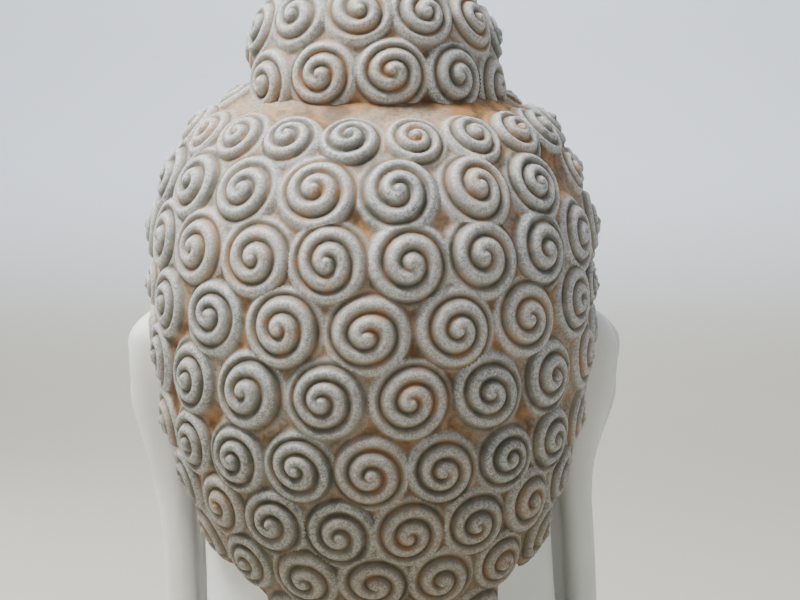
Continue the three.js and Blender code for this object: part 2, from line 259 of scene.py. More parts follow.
class Forms:
    """The bare forms of the head, without its curls and ears, in millimetres."""

    def __init__(self, sizes):
        self.height = sizes.height / MM
        self.skull_width = sizes.skull_width / MM
        self.skull_depth = sizes.skull_depth / MM
        self.topknot_width = sizes.topknot_width / MM
        self.face_width = sizes.face_width / MM
        self.neck_width = sizes.neck_width / MM
        self.neck_depth = sizes.neck_depth / MM
        self.pitch = sizes.curl_pitch / MM
        self.rise = sizes.curl_rise / MM
        self.ear_thickness = sizes.ear_thickness / MM
        self.skull_level = 0.576 * self.height
        self.skull_top = 0.825 * self.height
        self.nape = 0.155 * self.height
        self.topknot_level = 0.795 * self.height
        self.chin = 0.18 * self.height
        self.hairline = 0.655 * self.height
        self.brow = 0.533 * self.height
        self.eye = 0.475 * self.height
        self.nose = 0.377 * self.height
        self.mouth = 0.303 * self.height
        self.neck_top = 0.35 * self.height
        self.creases = [share * self.height for share in (0.055, 0.095, 0.135)]
        self.ear_top = 0.547 * self.height
        self.ear_bottom = 0.075 * self.height
        self.head_heart = np.array((0, HEART_OFFSET, HEART_SHARE * self.height))
        self.topknot_heart = np.array((0, TOPKNOT_OFFSET, self.topknot_level - TOPKNOT_SINK))
        self.knot_radius = self.topknot_width / 2
        self.knot_rise = self.height - self.rise - CAP_RISE - self.topknot_level
        self.edge_angles, self.edge_levels = self.edge_curve()

    def skull_section(self, z):
        """Half width, half depth and middle of the skull at a level."""
        above = np.clip((z - self.skull_level) / (self.skull_top - self.skull_level), 0, 1)
        below = np.clip((self.skull_level - z) / (self.skull_level - self.nape), 0, 1)
        crown = 1 - above**CROWN_FULLNESS
        rounding = 1 - below**2
        half_width = self.skull_width / 2 * crown ** (1 / CROWN_FULLNESS) * rounding**JAW_FULLNESS
        half_depth = self.skull_depth / 2 * np.sqrt(1 - above**2) * rounding**NAPE_FULLNESS
        return half_width, half_depth, SKULL_OFFSET + NAPE_LEAN * below**LEAN_POWER

    def face_section(self, z):
        """Half width, half depth and middle of the face at a level."""
        share = np.clip((z - self.chin) / (self.hairline - self.chin), 0, 1.1)
        jaw = np.sqrt(1 - (1 - np.minimum(share / 0.4, 1)) ** 2)
        wide = lerp(JAW_WIDTH, self.face_width, smoothstep(share, 0.15, 0.75)) / 2
        forehead = 1 - 0.1 * smoothstep(share, 0.7, 1.1) ** 2
        forehead = forehead * np.sqrt(1 - np.clip((z - self.hairline) / FOREHEAD_ROUND, 0, 0.999) ** 2)
        middle = lerp(-64, -10, smoothstep(share, 0, 0.45))
        chin = np.sqrt(1 - (1 - np.minimum((share + 0.02) / 0.14, 1)) ** 2)
        return wide * jaw * forehead, (FACE_FRONT + middle) * chin * forehead, middle

    def neck_section(self, z):
        """Half width, half depth and middle of the neck at a level."""
        spread = BASE_SPREAD * np.clip(1 - z / self.neck_top, 0, 1.2) ** 3
        crease = sum(np.exp(-(((z - level) / CREASE_WIDTH) ** 2)) for level in self.creases)
        out = spread - CREASE_DEPTH * crease
        return self.neck_width / 2 + out, self.neck_depth / 2 + out, NECK_OFFSET

    def features(self, x, z):
        """How far the features stand forward of the face's egg, the same on both sides."""
        side = np.abs(x)
        eye_x = EYE_SPACING / 2

        def bump(at_x, at_z, half_width, half_height):
            return np.exp(-(((side - at_x) / half_width) ** 2) - ((z - at_z) / half_height) ** 2)

        arch = self.brow + 2 - ((side - eye_x) / 15) ** 2
        brow = 3 * np.exp(-(((z - arch) / 5) ** 2)) * smoothstep(72 - side, 0, 20)
        socket = -9 * bump(eye_x - 5, self.eye + 4, 25, 12)
        lid = 10 * bump(eye_x, self.eye - 1, 18, 9)
        along = np.clip((self.brow - z) / (self.brow - self.nose), 0, 1)
        bridge = lerp(6, NOSE_LENGTH, along**1.2) * np.exp(-((side / lerp(8, 12, along)) ** 2))
        under = smoothstep(z, self.nose - 8, self.nose + 2)
        nose = bridge * under * smoothstep(self.brow + 12 - z, 0, 14)
        wing = 9 * bump(14, self.nose + 2, 7, 7)
        upper_lip = 7 * bump(6, self.mouth + 5, 18, 5)
        lower_lip = 7 * bump(0, self.mouth - 7, 18, 5.5)
        muzzle = 4 * bump(0, self.mouth, 34, 22)
        chin = 7 * bump(0, self.chin + 16, 22, 13)
        cheek = 4 * bump(46, self.nose + 10, 24, 26)
        philtrum = -1.5 * bump(0, self.mouth + 13, 4, 6)

        def line(level, half_height, middle, half_width):
            hold = smoothstep(half_width - np.abs(side - middle), 0, 6)
            return np.exp(-(((z - level) / half_height) ** 2)) * hold

        across = (side - eye_x) / 17
        slit = -2.6 * line(self.eye - 7 + 2.4 * across**2, 1.7, eye_x, 20)
        crease = -1.8 * line(self.eye + 8 - 4 * across**2, 1.5, eye_x, 20)
        mouth_line = -3.4 * line(self.mouth - 1 + 2.2 * (side / 24) ** 2, 1.7, 0, 27)
        raised = brow + socket + lid + nose + wing + upper_lip + lower_lip
        return raised + muzzle + chin + cheek + philtrum + slit + crease + mouth_line

    @staticmethod
    def oval_depth(x, y, section):
        half_width, half_depth, middle = section
        away = np.hypot(x, y - middle)
        share = np.hypot(x / np.maximum(half_width, 0.1), (y - middle) / np.maximum(half_depth, 0.1))
        return away / np.maximum(share, 1e-6) - away

    def parts(self, points):
        """How deep points lie inside the skull, the face and the neck; outside it is negative."""
        x, y, z = points.T
        crown = np.minimum(self.skull_top - z, z - self.nape)
        span = np.minimum(self.hairline + FOREHEAD_ROUND - z, z - self.chin + 1)
        forward = smoothstep(-y, 30, 60)
        skull = self.oval_depth(x, y, self.skull_section(z))
        face = self.oval_depth(x, y + forward * self.features(x, z), self.face_section(z))
        neck = self.oval_depth(x, y, self.neck_section(z))
        skull = np.where(crown > 0, skull, np.minimum(skull, crown - 1))
        face = np.where(span > 0, face, np.minimum(face, span - 1))
        neck = np.where(z < self.neck_top, neck, np.minimum(neck, self.neck_top - z - 1))
        return skull, face, neck

    def head_over(self, level):
        """The depth inside the head with everything under a level cut away."""
        return lambda points: np.minimum(self.head_depth(points), points[:, 2] - level)

    def head_depth(self, points):
        depths = np.clip(np.stack(self.parts(points)) / FILLET, -60, 60)
        return FILLET * np.log(np.exp(depths).sum(0))

    def topknot_depth(self, points):
        x, y, z = points.T
        level = (z - self.topknot_level) / self.knot_rise
        across = np.hypot(x, y - TOPKNOT_OFFSET) / self.knot_radius
        return (1 - np.hypot(across, level)) * self.knot_radius

    def edge_curve(self):
        """The hair's edge as a smooth curve through its points."""
        marks = np.array(HAIR_EDGE)
        shares = np.linspace(0, len(marks) - 1, 2000)[:-1]
        first = shares.astype(int)
        t = (shares - first)[:, None]
        before = marks[np.maximum(first - 1, 0)]
        here = marks[first]
        there = marks[first + 1]
        after = marks[np.minimum(first + 2, len(marks) - 1)]
        out = (there - before) / 2
        back = (after - here) / 2
        cubic = (2 * here - 2 * there + out + back) * t**3
        square = (-3 * here + 3 * there - 2 * out - back) * t**2
        curve = cubic + square + out * t + here
        return curve[:, 0], curve[:, 1] * self.height

    def edge_level(self, angle):
        turned = np.abs(np.degrees(np.arctan2(np.sin(angle), np.cos(angle))))
        return np.interp(turned, self.edge_angles, self.edge_levels)

    def angle_of(self, points):
        level = np.clip(points[:, 2], self.nape + 20, self.skull_top - 20)
        half_width, half_depth, middle = self.skull_section(level)
        return np.arctan2(points[:, 0] / half_width, (points[:, 1] - middle) / half_depth)

    def hair_reach(self, points):
        """How far inside the hair's area points of the bare surface lie, in millimetres."""
        skull, face, neck = self.parts(points)
        angle = self.angle_of(points)
        above = points[:, 2] - self.edge_level(angle)
        over_skin = np.where(np.abs(np.degrees(angle)) > 100, 1000, skull - np.maximum(neck, face))
        return np.maximum(np.minimum(above, over_skin), self.topknot_depth(points) - skull)

    def skull_point(self, angle, z):
        half_width, half_depth, middle = self.skull_section(z)
        return np.stack([half_width * np.sin(angle), middle + half_depth * np.cos(angle), z], -1)

    def topknot_point(self, angle, z):
        rise = np.clip((z - self.topknot_level) / self.knot_rise, -1, 1)
        radius = self.knot_radius * np.sqrt(1 - rise**2)
        return np.stack([radius * np.sin(angle), TOPKNOT_OFFSET + radius * np.cos(angle), z], -1)


def surface_at(directions, heart, depth):
    """The points where rays from the heart leave a form."""
    outside = np.full(len(directions), LONGEST_RAY)
    stride = 4.0
    active = np.arange(len(directions))
    while len(active):
        points = heart + directions[active] * (outside[active] - stride)[:, None]
        still = depth(points) < 0
        active = active[still]
        outside[active] -= stride
        active = active[outside[active] > stride]
    inside = outside - stride
    for _ in range(12):
        middle = (inside + outside) / 2
        out = depth(heart + directions * middle[:, None]) < 0
        outside = np.where(out, middle, outside)
        inside = np.where(out, inside, middle)
    return heart + directions * inside[:, None]


def normals_at(points, depth, reach=0.5):
    """The directions straight out of a form's surface."""
    slopes = []
    for axis in range(3):
        step = np.zeros(3)
        step[axis] = reach
        slopes.append(depth(points - step) - depth(points + step))
    return unit(np.stack(slopes, -1))


def spiral_directions(count):
    """Directions spread evenly over a ball."""
    number = np.arange(count)
    up = 1 - 2 * (number + 0.5) / count
    turn = number * math.pi * (3 - math.sqrt(5))
    flat = np.sqrt(1 - up**2)
    return np.stack([flat * np.cos(turn), flat * np.sin(turn), up], -1)


class Curls:
    """Where every curl sits, how large it is and how its whorl is turned."""

    def __init__(self, forms, look):
        self.forms = forms
        self.look = look
        self.points = []
        self.radii = []
        self.on_topknot = []
        self.lay_out()
        self.centre = np.array(self.points)
        self.radius = self.grown(np.array(self.radii))
        self.on_topknot = np.array(self.on_topknot)
        head = normals_at(self.centre, forms.head_depth, 4)
        knot = normals_at(self.centre, forms.topknot_depth, 4)
        self.normal = np.where(self.on_topknot[:, None], knot, head)
        count = len(self.centre)
        chance = np.random.default_rng(look.seed)
        start = chance.uniform(0, FULL, count)
        upright = np.tile((0.0, 0.0, 1.0), (count, 1))
        across = unit(np.cross(upright + 0.01, self.normal))
        along = np.cross(self.normal, across)
        self.first = across * np.cos(start)[:, None] + along * np.sin(start)[:, None]
        self.second = np.cross(self.normal, self.first)
        self.turns = look.turns * chance.uniform(0.9, 1.08, count)
        self.oval = chance.uniform(-0.05, 0.05, count)
        self.shift = chance.uniform(-0.07, 0.07, (count, 2))
        small = np.minimum(self.radius / (FULL_RISE * forms.pitch), 1)
        self.swell = chance.uniform(0.92, 1.0, count) * small
        self.tone = chance.uniform(0, 1, count)

    def grown(self, radii):
        """Lets a curl that stands by itself spread towards its neighbours."""
        gaps = np.linalg.norm(self.centre[:, None] - self.centre[None], axis=2)
        gaps = gaps - radii[:, None] - radii[None]
        np.fill_diagonal(gaps, 1000)
        return radii + np.clip(gaps.min(1) / 2, 0, 0.2 * radii)

    def candidates(self, rows, place):
        """Each row's curls: place, radius, whether it is clear of the hair's edge, and its angle."""
        forms = self.forms
        for level, climb, count, first, radius in rows:
            angle = math.radians(first) + np.arange(count) * FULL / count
            start = np.full(count, level * forms.height)
            back = forms.skull_point(np.zeros(count), start)[:, 1]
            z = start
            for _ in range(24 if climb else 0):
                z = start + climb * (back - forms.skull_point(angle, z)[:, 1])
            clear = z - 0.6 * radius * forms.pitch > forms.edge_level(angle)
            turned = np.abs(np.degrees(np.arctan2(np.sin(angle), np.cos(angle))))
            for point, fine, far in zip(place(angle, z), clear, turned):
                yield point, radius, bool(fine), float(far)

    def lay_out(self):
        """Takes the topknot's curls, the rows behind, the brow's, the rows in front and the fillers."""
        forms = self.forms
        knot = list(self.candidates(TOPKNOT_ROWS, forms.topknot_point))
        self.take([entry[0] for entry in knot], [entry[1] for entry in knot], ON_TOPKNOT_APART, True)
        rows = [entry for entry in self.candidates(SKULL_ROWS, forms.skull_point) if entry[2]]
        back = [entry for entry in rows if entry[3] < 85]
        front = [entry for entry in rows if entry[3] >= 85]
        self.take([entry[0] for entry in back], [entry[1] for entry in back], IN_ROW_APART)
        angle = np.radians(np.linspace(102, 258, BROW_CURLS))
        level = forms.edge_level(angle) + 0.8 * BROW_CURL * forms.pitch
        self.take(forms.skull_point(angle, level), [BROW_CURL] * BROW_CURLS, ON_BROW_APART)
        self.take([entry[0] for entry in front], [entry[1] for entry in front], IN_ROW_APART)
        tries = forms.head_heart + 100 * spiral_directions(1500)
        turned = np.abs(np.degrees(forms.angle_of(tries)))
        for radius, apart, from_angle in FILLER_CURLS:
            fillers = tries[turned >= from_angle]
            self.take(fillers, [radius] * len(fillers), apart)

    def take(self, points, shares, apart, on_topknot=False):
        """Takes each curl that isn't buried, not off the hair and not too near one already taken."""
        forms = self.forms
        heart = forms.topknot_heart if on_topknot else forms.head_heart
        depth = forms.topknot_depth if on_topknot else forms.head_depth
        centres = surface_at(unit(np.array(points) - heart), heart, depth)
        radii = np.array(shares) * forms.pitch
        if on_topknot:
            fine = forms.parts(centres)[0] <= -0.3 * radii
        else:
            fine = (forms.topknot_depth(centres) <= -0.4 * radii) & (forms.hair_reach(centres) > 0)
        for centre, radius in zip(centres[fine], radii[fine]):
            gaps = [np.linalg.norm(centre - other) for other in self.points]
            if all(gap >= apart * (radius + other) for gap, other in zip(gaps, self.radii)):
                self.points.append(centre)
                self.radii.append(radius)
                self.on_topknot.append(on_topknot)

    def place(self, points, owner):
        """Where points lie in their curl's own disc: 0 at its middle and 1 at its foot."""
        offset = points - self.centre[owner]
        x = (offset * self.first[owner]).sum(-1)
        y = (offset * self.second[owner]).sum(-1)
        reach = CURL_REACH * self.radius[owner]
        share = np.linalg.norm(offset, axis=-1) / reach / np.maximum(np.hypot(x, y), 1e-6)
        x, y = x * share, y * share
        hold = np.clip(1 - np.hypot(x, y), 0, 1)
        oval = self.oval[owner] * smoothstep(hold, 0, 0.5)
        x = x * (1 + oval) - self.shift[owner, 0] * hold
        y = y * (1 - oval) - self.shift[owner, 1] * hold
        return x, y

    def rise(self, x, y, owner):
        """Height of a curl over the cap of hair, as a share of the full rise."""
        out = np.hypot(x, y)
        phase = self.turns[owner] * out + np.arctan2(y, x) / FULL
        ridge = np.abs(np.sin(math.pi * phase)) ** RIDGE_POWER
        ridge = lerp(1, ridge, smoothstep(out, *KNOB))
        shell = 1 - 0.56 * np.clip(out, 0, 1)
        foot = 1 - smoothstep(out, 0.68, 1.08)
        hold = 1 - smoothstep(out, 0.7, 1)
        return self.swell[owner] * (shell * foot - self.look.groove * hold * (1 - ridge))


def mesh_points(bm):
    """The places of a mesh's points, in the mesh's own units."""
    return np.array([vert.co for vert in bm.verts])


def refine(bm, wanted):
    """Halves every edge whose two ends are wanted."""
    keep = wanted(mesh_points(bm))
    for number, vert in enumerate(bm.verts):
        vert.index = number
    edges = [edge for edge in bm.edges if keep[edge.verts[0].index] and keep[edge.verts[1].index]]
    bmesh.ops.subdivide_edges(bm, edges=edges, cuts=1, use_grid_fill=True)
    loose = [face for face in bm.faces if len(face.verts) > 3]
    bmesh.ops.triangulate(bm, faces=loose)
    for vert in bm.verts:
        vert.co.normalize()


def place_points(bm, points):
    """Moves a mesh's points to places given in millimetres."""
    for vert, point in zip(bm.verts, (points * MM).tolist()):
        vert.co = point


def lean(bm):
    """Leans the lower head a little to its right."""
    height = bpy.context.scene.head_sizes.height
    start, full = (share * height for share in LEAN_LEVELS)
    points = mesh_points(bm)
    points[:, 0] -= LEAN * MM * smoothstep(start - points[:, 2], 0, start - full)
    place_points(bm, points / MM)


def finish_piece(bm, name, material):
    """Writes the mesh as a piece of the head."""
    lean(bm)
    bmesh.ops.recalc_face_normals(bm, faces=bm.faces)
    mesh = bpy.data.meshes.new(name)
    bm.to_mesh(mesh)
    bm.free()
    mesh.shade_smooth()
    mesh.materials.append(material)
    piece = bpy.data.objects.new(name, mesh)
    bpy.context.scene.collection.objects.link(piece)
    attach(piece, "root")
    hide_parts(NODE)
    return piece


def curl_heights(points, curls, chosen, cap):
    """Height of the hair over the bare surface, and how far it has risen into a curl."""
    forms = curls.forms
    total = np.exp(cap / RIM_SOFTNESS)
    risen = np.zeros(len(points))
    for number in chosen:
        reach = 1.3 * curls.radius[number]
        near = np.nonzero(np.linalg.norm(points - curls.centre[number], axis=1) < reach)[0]
        if not len(near):
            continue
        owner = np.full(len(near), number)
        x, y = curls.place(points[near], owner)
        rise = curls.rise(x, y, owner)
        away = np.maximum(np.hypot(x, y) - 1, 0) * curls.radius[number]
        height = CAP_RISE + forms.rise * rise - 3 * away
        total[near] += np.exp(height / RIM_SOFTNESS)
        risen[near] = np.maximum(risen[near], rise)
    return RIM_SOFTNESS * np.log(total), risen


def paint_curls(piece, curls, chosen, base, risen):
    """Gives every face the disc place of its own curl, and what the paint needs to know."""
    mesh = piece.data
    corners = np.empty(len(mesh.loops), int)
    mesh.loops.foreach_get("vertex_index", corners)
    triples = corners.reshape(-1, 3)
    middles = base[triples].mean(1)
    best = np.full(len(triples), -1e9)
    owner = np.zeros(len(triples), int)
    for number in chosen:
        closeness = 1 - np.linalg.norm(middles - curls.centre[number], axis=1) / curls.radius[number]
        better = closeness > best
        best[better] = closeness[better]
        owner[better] = number
    owners = np.repeat(owner, 3)
    x, y = curls.place(base[corners], owners)
    scale = curls.turns[owners] / curls.look.turns
    disc = mesh.uv_layers.new(name="curl")
    disc.data.foreach_set("uv", np.stack([x * scale, y * scale], -1).ravel())
    tone = mesh.attributes.new("tone", "FLOAT", "CORNER")
    tone.data.foreach_set("value", curls.tone[owners].astype(np.float32))
    out = mesh.attributes.new("risen", "FLOAT", "POINT")
    out.data.foreach_set("value", risen.astype(np.float32))


# Materials.


def add_node(tree, kind, inputs=(), **settings):
    """Adds a node, sets its settings, and gives its inputs numbers, colours or links."""
    node = tree.nodes.new(kind)
    for name, value in settings.items():
        setattr(node, name, value)
    for key, value in dict(inputs).items():
        socket = node.inputs[key]
        if isinstance(value, bpy.types.NodeSocket):
            tree.links.new(value, socket)
        else:
            socket.default_value = value
    return node


def math_node(tree, operation, first, second=0.0, clamp=False):
    node = add_node(tree, "ShaderNodeMath", {0: first, 1: second}, operation=operation, use_clamp=clamp)
    return node.outputs[0]


def ramp(tree, value, low, high, to_low=0.0, to_high=1.0):
    """The value eased from one range to another."""
    inputs = {"Value": value, "From Min": low, "From Max": high, "To Min": to_low, "To Max": to_high}
    node = add_node(tree, "ShaderNodeMapRange", inputs, interpolation_type="SMOOTHSTEP")
    return node.outputs["Result"]


def mix(tree, factor, first, second):
    inputs = {"Factor": factor, 6: first, 7: second}
    return add_node(tree, "ShaderNodeMix", inputs, data_type="RGBA").outputs[2]


def tint(tree, colour, by):
    """The colour multiplied by another colour or by a value."""
    node = add_node(tree, "ShaderNodeVectorMath", {0: colour, 1: by}, operation="MULTIPLY")
    return node.outputs["Vector"]


def set_bump(tree, shader, height, strength, distance):
    """Gives a material fine grit, its distance in metres."""
    inputs = {"Height": height, "Strength": strength, "Distance": distance}
    bump = add_node(tree, "ShaderNodeBump", inputs)
    tree.links.new(bump.outputs["Normal"], shader.inputs["Normal"])


def noise(tree, place, scale, detail=3.0, roughness=0.55):
    inputs = {"Vector": place, "Scale": scale, "Detail": detail, "Roughness": roughness}
    return add_node(tree, "ShaderNodeTexNoise", inputs).outputs["Fac"]


def new_group(name, outputs):
    group = bpy.data.node_groups.new(name, "ShaderNodeTree")
    for label in outputs:
        group.interface.new_socket(label, in_out="OUTPUT", socket_type="NodeSocketFloat")
    return group


def whorl_group(look):
    """Ridge, 1 on a whorl's crest and 0 in its groove, and how far out on the curl it is."""
    group = new_group("Whorl", ("Ridge", "Out"))
    disc = add_node(group, "ShaderNodeUVMap", uv_map="curl").outputs["UV"]
    split = add_node(group, "ShaderNodeSeparateXYZ", {0: disc})
    out = add_node(group, "ShaderNodeVectorMath", {0: disc}, operation="LENGTH").outputs["Value"]
    angle = math_node(group, "ARCTAN2", split.outputs["Y"], split.outputs["X"])
    turned = math_node(group, "DIVIDE", angle, FULL)
    phase = math_node(group, "ADD", math_node(group, "MULTIPLY", out, look.turns), turned)
    wave = math_node(group, "SINE", math_node(group, "MULTIPLY", phase, math.pi))
    crest = math_node(group, "POWER", math_node(group, "ABSOLUTE", wave), RIDGE_POWER)
    knob = ramp(group, out, *KNOB, 1.0, 0.0)
    ridge = math_node(group, "MAXIMUM", crest, knob)
    ends = add_node(group, "NodeGroupOutput")
    group.links.new(ridge, ends.inputs["Ridge"])
    group.links.new(out, ends.inputs["Out"])
    return group


def wear_group():
    """Uneven masks of several grains in the object's own space, shared by hair and skin."""
    if "Wear" in bpy.data.node_groups:
        return bpy.data.node_groups["Wear"]
    group = new_group("Wear", ("Fine", "Grain", "Patch", "Broad"))
    place = add_node(group, "ShaderNodeTexCoord").outputs["Object"]
    grains = {"Fine": (1400.0, 2.0), "Grain": (600.0, 3.0), "Patch": (110.0, 4.0), "Broad": (26.0, 3.0)}
    ends = add_node(group, "NodeGroupOutput")
    for label, (scale, detail) in grains.items():
        group.links.new(noise(group, place, scale, detail), ends.inputs[label])
    return group


def surface_material(name):
    material = bpy.data.materials.new(name)
    material.use_nodes = True
    tree = material.node_tree
    shader = tree.nodes["Principled BSDF"]
    return material, tree, shader


def hair_material(look):
    """Terracotta under a grey coat: dark in the grooves, partly dark paint and partly painted shade, silver on the
    ridges, bare in the valleys, and painted shade towards the nape.
    """
    material, tree, shader = surface_material("brushed curls")
    whorl = add_node(tree, "ShaderNodeGroup", node_tree=whorl_group(look))
    wear = add_node(tree, "ShaderNodeGroup", node_tree=wear_group())
    ridge, out = whorl.outputs["Ridge"], whorl.outputs["Out"]
    fine, grain = wear.outputs["Fine"], wear.outputs["Grain"]
    patch, broad = wear.outputs["Patch"], wear.outputs["Broad"]
    risen = add_node(tree, "ShaderNodeAttribute", attribute_name="risen").outputs["Fac"]
    tone = add_node(tree, "ShaderNodeAttribute", attribute_name="tone").outputs["Fac"]

    clay = mix(tree, ramp(tree, patch, 0.38, 0.62), paint("dark clay"), tuple(look.clay))
    wash = mix(tree, ramp(tree, grain, 0.35, 0.65), paint("brown wash"), paint("pale wash"))
    washed = mix(tree, ramp(tree, broad, 0.42, 0.6, 0.05, 0.85), clay, wash)
    broken = math_node(tree, "ADD", risen, math_node(tree, "MULTIPLY", patch, 0.35))
    coat = ramp(tree, broken, 0.26, 0.5)
    grey = mix(tree, ramp(tree, patch, 0.35, 0.65), paint("dark grey"), paint("grey"))
    beige = ramp(tree, math_node(tree, "ADD", tone, broad), 0.85, 1.35, 0.0, 0.6)
    body = mix(tree, coat, washed, mix(tree, beige, grey, paint("beige")))

    worn = math_node(tree, "MULTIPLY", ramp(tree, patch, 0.5, 0.62), ramp(tree, tone, 0.45, 0.8))
    rubbed = math_node(tree, "MULTIPLY", worn, ramp(tree, out, 0.25, 0.8, 0.8, 0.35))
    body = mix(tree, rubbed, body, paint("rubbed clay"))
    # The whorl's grooves inside each curl are darkened: partly dark paint, partly painted shade.
    groove_paint_and_shade = mix(tree, ramp(tree, patch, 0.42, 0.6), paint("groove"), paint("brown groove"))
    within = ramp(tree, out, 0.74, 0.94, 1.0, 0.1)
    low = math_node(tree, "MULTIPLY", ramp(tree, ridge, 0.0, 0.72, 0.9, 0.0), within)
    body = mix(tree, low, body, groove_paint_and_shade)
    streak = ramp(tree, math_node(tree, "ADD", fine, grain), 0.8, 1.2, 0.25, 0.95)
    inner = math_node(tree, "MULTIPLY", coat, ramp(tree, out, 0.78, 0.95, 1.0, 0.3))
    crest = math_node(tree, "MULTIPLY", ramp(tree, ridge, 0.55, 0.98), inner)
    bright = math_node(tree, "MULTIPLY", crest, streak)
    body = mix(tree, bright, body, tuple(look.silver))

    # Painted shade: the hair's colour darkens towards the nape, from 0.24 m down to 0.08 m above the underside.
    place = add_node(tree, "ShaderNodeTexCoord").outputs["Object"]
    level = add_node(tree, "ShaderNodeSeparateXYZ", {0: place}).outputs["Z"]
    shade = mix(tree, ramp(tree, level, 0.08, 0.24), paint("painted shade at the nape"), paint("full light"))
    speck = ramp(tree, fine, 0.3, 0.7, 0.9, 1.08)
    shaded = tint(tree, tint(tree, body, shade), speck)
    tree.links.new(shaded, shader.inputs["Base Color"])

    tree.links.new(ramp(tree, bright, 0.0, 1.0, 0.62, 0.42), shader.inputs["Roughness"])
    shader.inputs["Specular IOR Level"].default_value = 0.4
    crests = math_node(tree, "MULTIPLY", ridge, 0.5)
    relief = math_node(tree, "ADD", crests, math_node(tree, "MULTIPLY", fine, 0.18))
    relief = math_node(tree, "ADD", relief, math_node(tree, "MULTIPLY", grain, 0.2))
    set_bump(tree, shader, relief, 0.5, 0.0008)
    return material


def skin_material(look):
    """Matt white glaze, a little uneven."""
    material, tree, shader = surface_material("white skin")
    wear = add_node(tree, "ShaderNodeGroup", node_tree=wear_group())
    even = mix(tree, ramp(tree, wear.outputs["Broad"], 0.3, 0.7), tuple(look.skin), paint("bright skin"))
    soiled = ramp(tree, wear.outputs["Patch"], 0.62, 0.8, 0.0, 0.2)
    tone = mix(tree, soiled, even, paint("soiled skin"))
    tree.links.new(tone, shader.inputs["Base Color"])
    tree.links.new(ramp(tree, wear.outputs["Patch"], 0.3, 0.7, 0.46, 0.58), shader.inputs["Roughness"])
    shader.inputs["Specular IOR Level"].default_value = 0.4
    set_bump(tree, shader, wear.outputs["Grain"], 0.1, 0.0004)
    return material


def material_named(name, make):
    return bpy.data.materials.get(name) or make()


# Ears.


def ear_point(forms, angle, share, sign):
    """A point of one ear; the angle goes round its section and the share up its length."""
    lobe_in = forms.neck_width / 2 + LOBE_GAP
    z = lerp(forms.ear_bottom, forms.ear_top, share)
    low = np.sqrt(1 - np.clip(1 - share / 0.06, 0, 1) ** 2)
    high = np.sqrt(1 - np.clip((share - 0.9) / 0.1, 0, 1) ** 2)
    top = np.sqrt(1 - np.clip((share - 0.86) / 0.15, 0, 1) ** 2)
    shell = smoothstep(share, 0.5, 0.85) * top
    outer = lobe_in + forms.ear_thickness + EAR_FLARE * top * smoothstep(share, FLARE_START[sign], 0.88)
    inner = lerp(lobe_in, forms.skull_width / 2 - 12, smoothstep(share, 0.42, 0.62))
    half_x = (outer - inner) / 2 * low * high
    half_y = LOBE_DEPTH / 2 * low * high * lerp(1, 1.35, shell)
    across = np.cos(angle)
    facing = np.sin(angle)
    hollow = ear_hollow(across, share) * np.clip(facing, 0, 1) ** 0.6
    x = (outer + inner) / 2 + half_x * np.sign(facing) * np.abs(facing) ** 0.7 - hollow
    y = lerp(-12, -6, share) + half_y * across
    return np.stack([sign * x, y, z], -1)


def ear_hollow(across, share):
    """How deep the ear's outer face is carved; across goes from -1 in front to 1 at the back."""

    def dip(at, level, half_across, half_level):
        return np.exp(-(((across - at) / half_across) ** 2) - ((share - level) / half_level) ** 2)

    scapha = 5 * np.exp(-(((across - 0.5) / 0.15) ** 2)) * smoothstep(share, 0.42, 0.54)
    scapha = scapha * smoothstep(0.97 - share, 0, 0.06)
    concha = 9 * dip(-0.3, 0.62, 0.36, 0.075)
    fossa = 5.5 * dip(-0.1, 0.84, 0.36, 0.05)
    slot = 4.5 * dip(0, 0.24, 0.22, 0.12)
    tragus = -3 * dip(-0.8, 0.62, 0.2, 0.03)
    return scapha + concha + fossa + slot + tragus


def ear_mesh(forms, sign):
    """One ear and the web that joins its lobe to the jaw, swollen where they meet the head."""
    bm = bmesh.new()
    bmesh.ops.create_uvsphere(bm, u_segments=72, v_segments=190, radius=1)
    points = mesh_points(bm)
    angle = np.arctan2(points[:, 0], points[:, 1])
    share = np.arccos(np.clip(-points[:, 2], -1, 1)) / math.pi
    flat = np.hypot(points[:, 0], points[:, 1])
    share = np.where(flat < 1e-4, np.round(share), share)
    place_points(bm, ear_point(forms, angle, share, sign))
    web = bmesh.ops.create_uvsphere(bm, u_segments=32, v_segments=60, radius=1)["verts"]
    start = forms.neck_width / 2 - WEB_INSIDE
    end = forms.neck_width / 2 + LOBE_GAP + forms.ear_thickness / 2
    for vert in web:
        x = lerp(start, end, (vert.co.x * sign + 1) / 2)
        z = lerp(forms.ear_bottom + 8, 0.45 * forms.height, (vert.co.z + 1) / 2)
        vert.co = Vector((sign * x, WEB_PLACE + WEB_HALF * vert.co.y, z)) * MM
    bmesh.ops.recalc_face_normals(bm, faces=bm.faces)
    bm.normal_update()
    points = mesh_points(bm) / MM
    out = np.array([vert.normal for vert in bm.verts])
    first = meet(forms.head_depth(points))
    swell = np.minimum(first, meet(forms.head_depth(points + out * first[:, None])))
    place_points(bm, points + out * swell[:, None])
    mesh = bpy.data.meshes.new("ear")
    bm.to_mesh(mesh)
    bm.free()
    return mesh


def fused(bm):
    """One even, smooth skin over several closed meshes that overlap."""
    mesh = bpy.data.meshes.new("rough skin")
    bm.to_mesh(mesh)
    bm.free()
    rough = bpy.data.objects.new("rough skin", mesh)
    bpy.context.scene.collection.objects.link(rough)
    remesh = rough.modifiers.new("Fuse", "REMESH")
    remesh.mode = "VOXEL"
    remesh.voxel_size = SKIN_GRID * MM
    smooth = rough.modifiers.new("Smooth", "SMOOTH")
    smooth.factor = 0.5
    smooth.iterations = 5
    thin = rough.modifiers.new("Thin", "DECIMATE")
    thin.ratio = SKIN_KEPT
    depsgraph = bpy.context.evaluated_depsgraph_get()
    result = bpy.data.meshes.new_from_object(rough.evaluated_get(depsgraph))
    bpy.data.objects.remove(rough)
    whole = bmesh.new()
    whole.from_mesh(result)
    bpy.data.meshes.remove(result)
    return whole


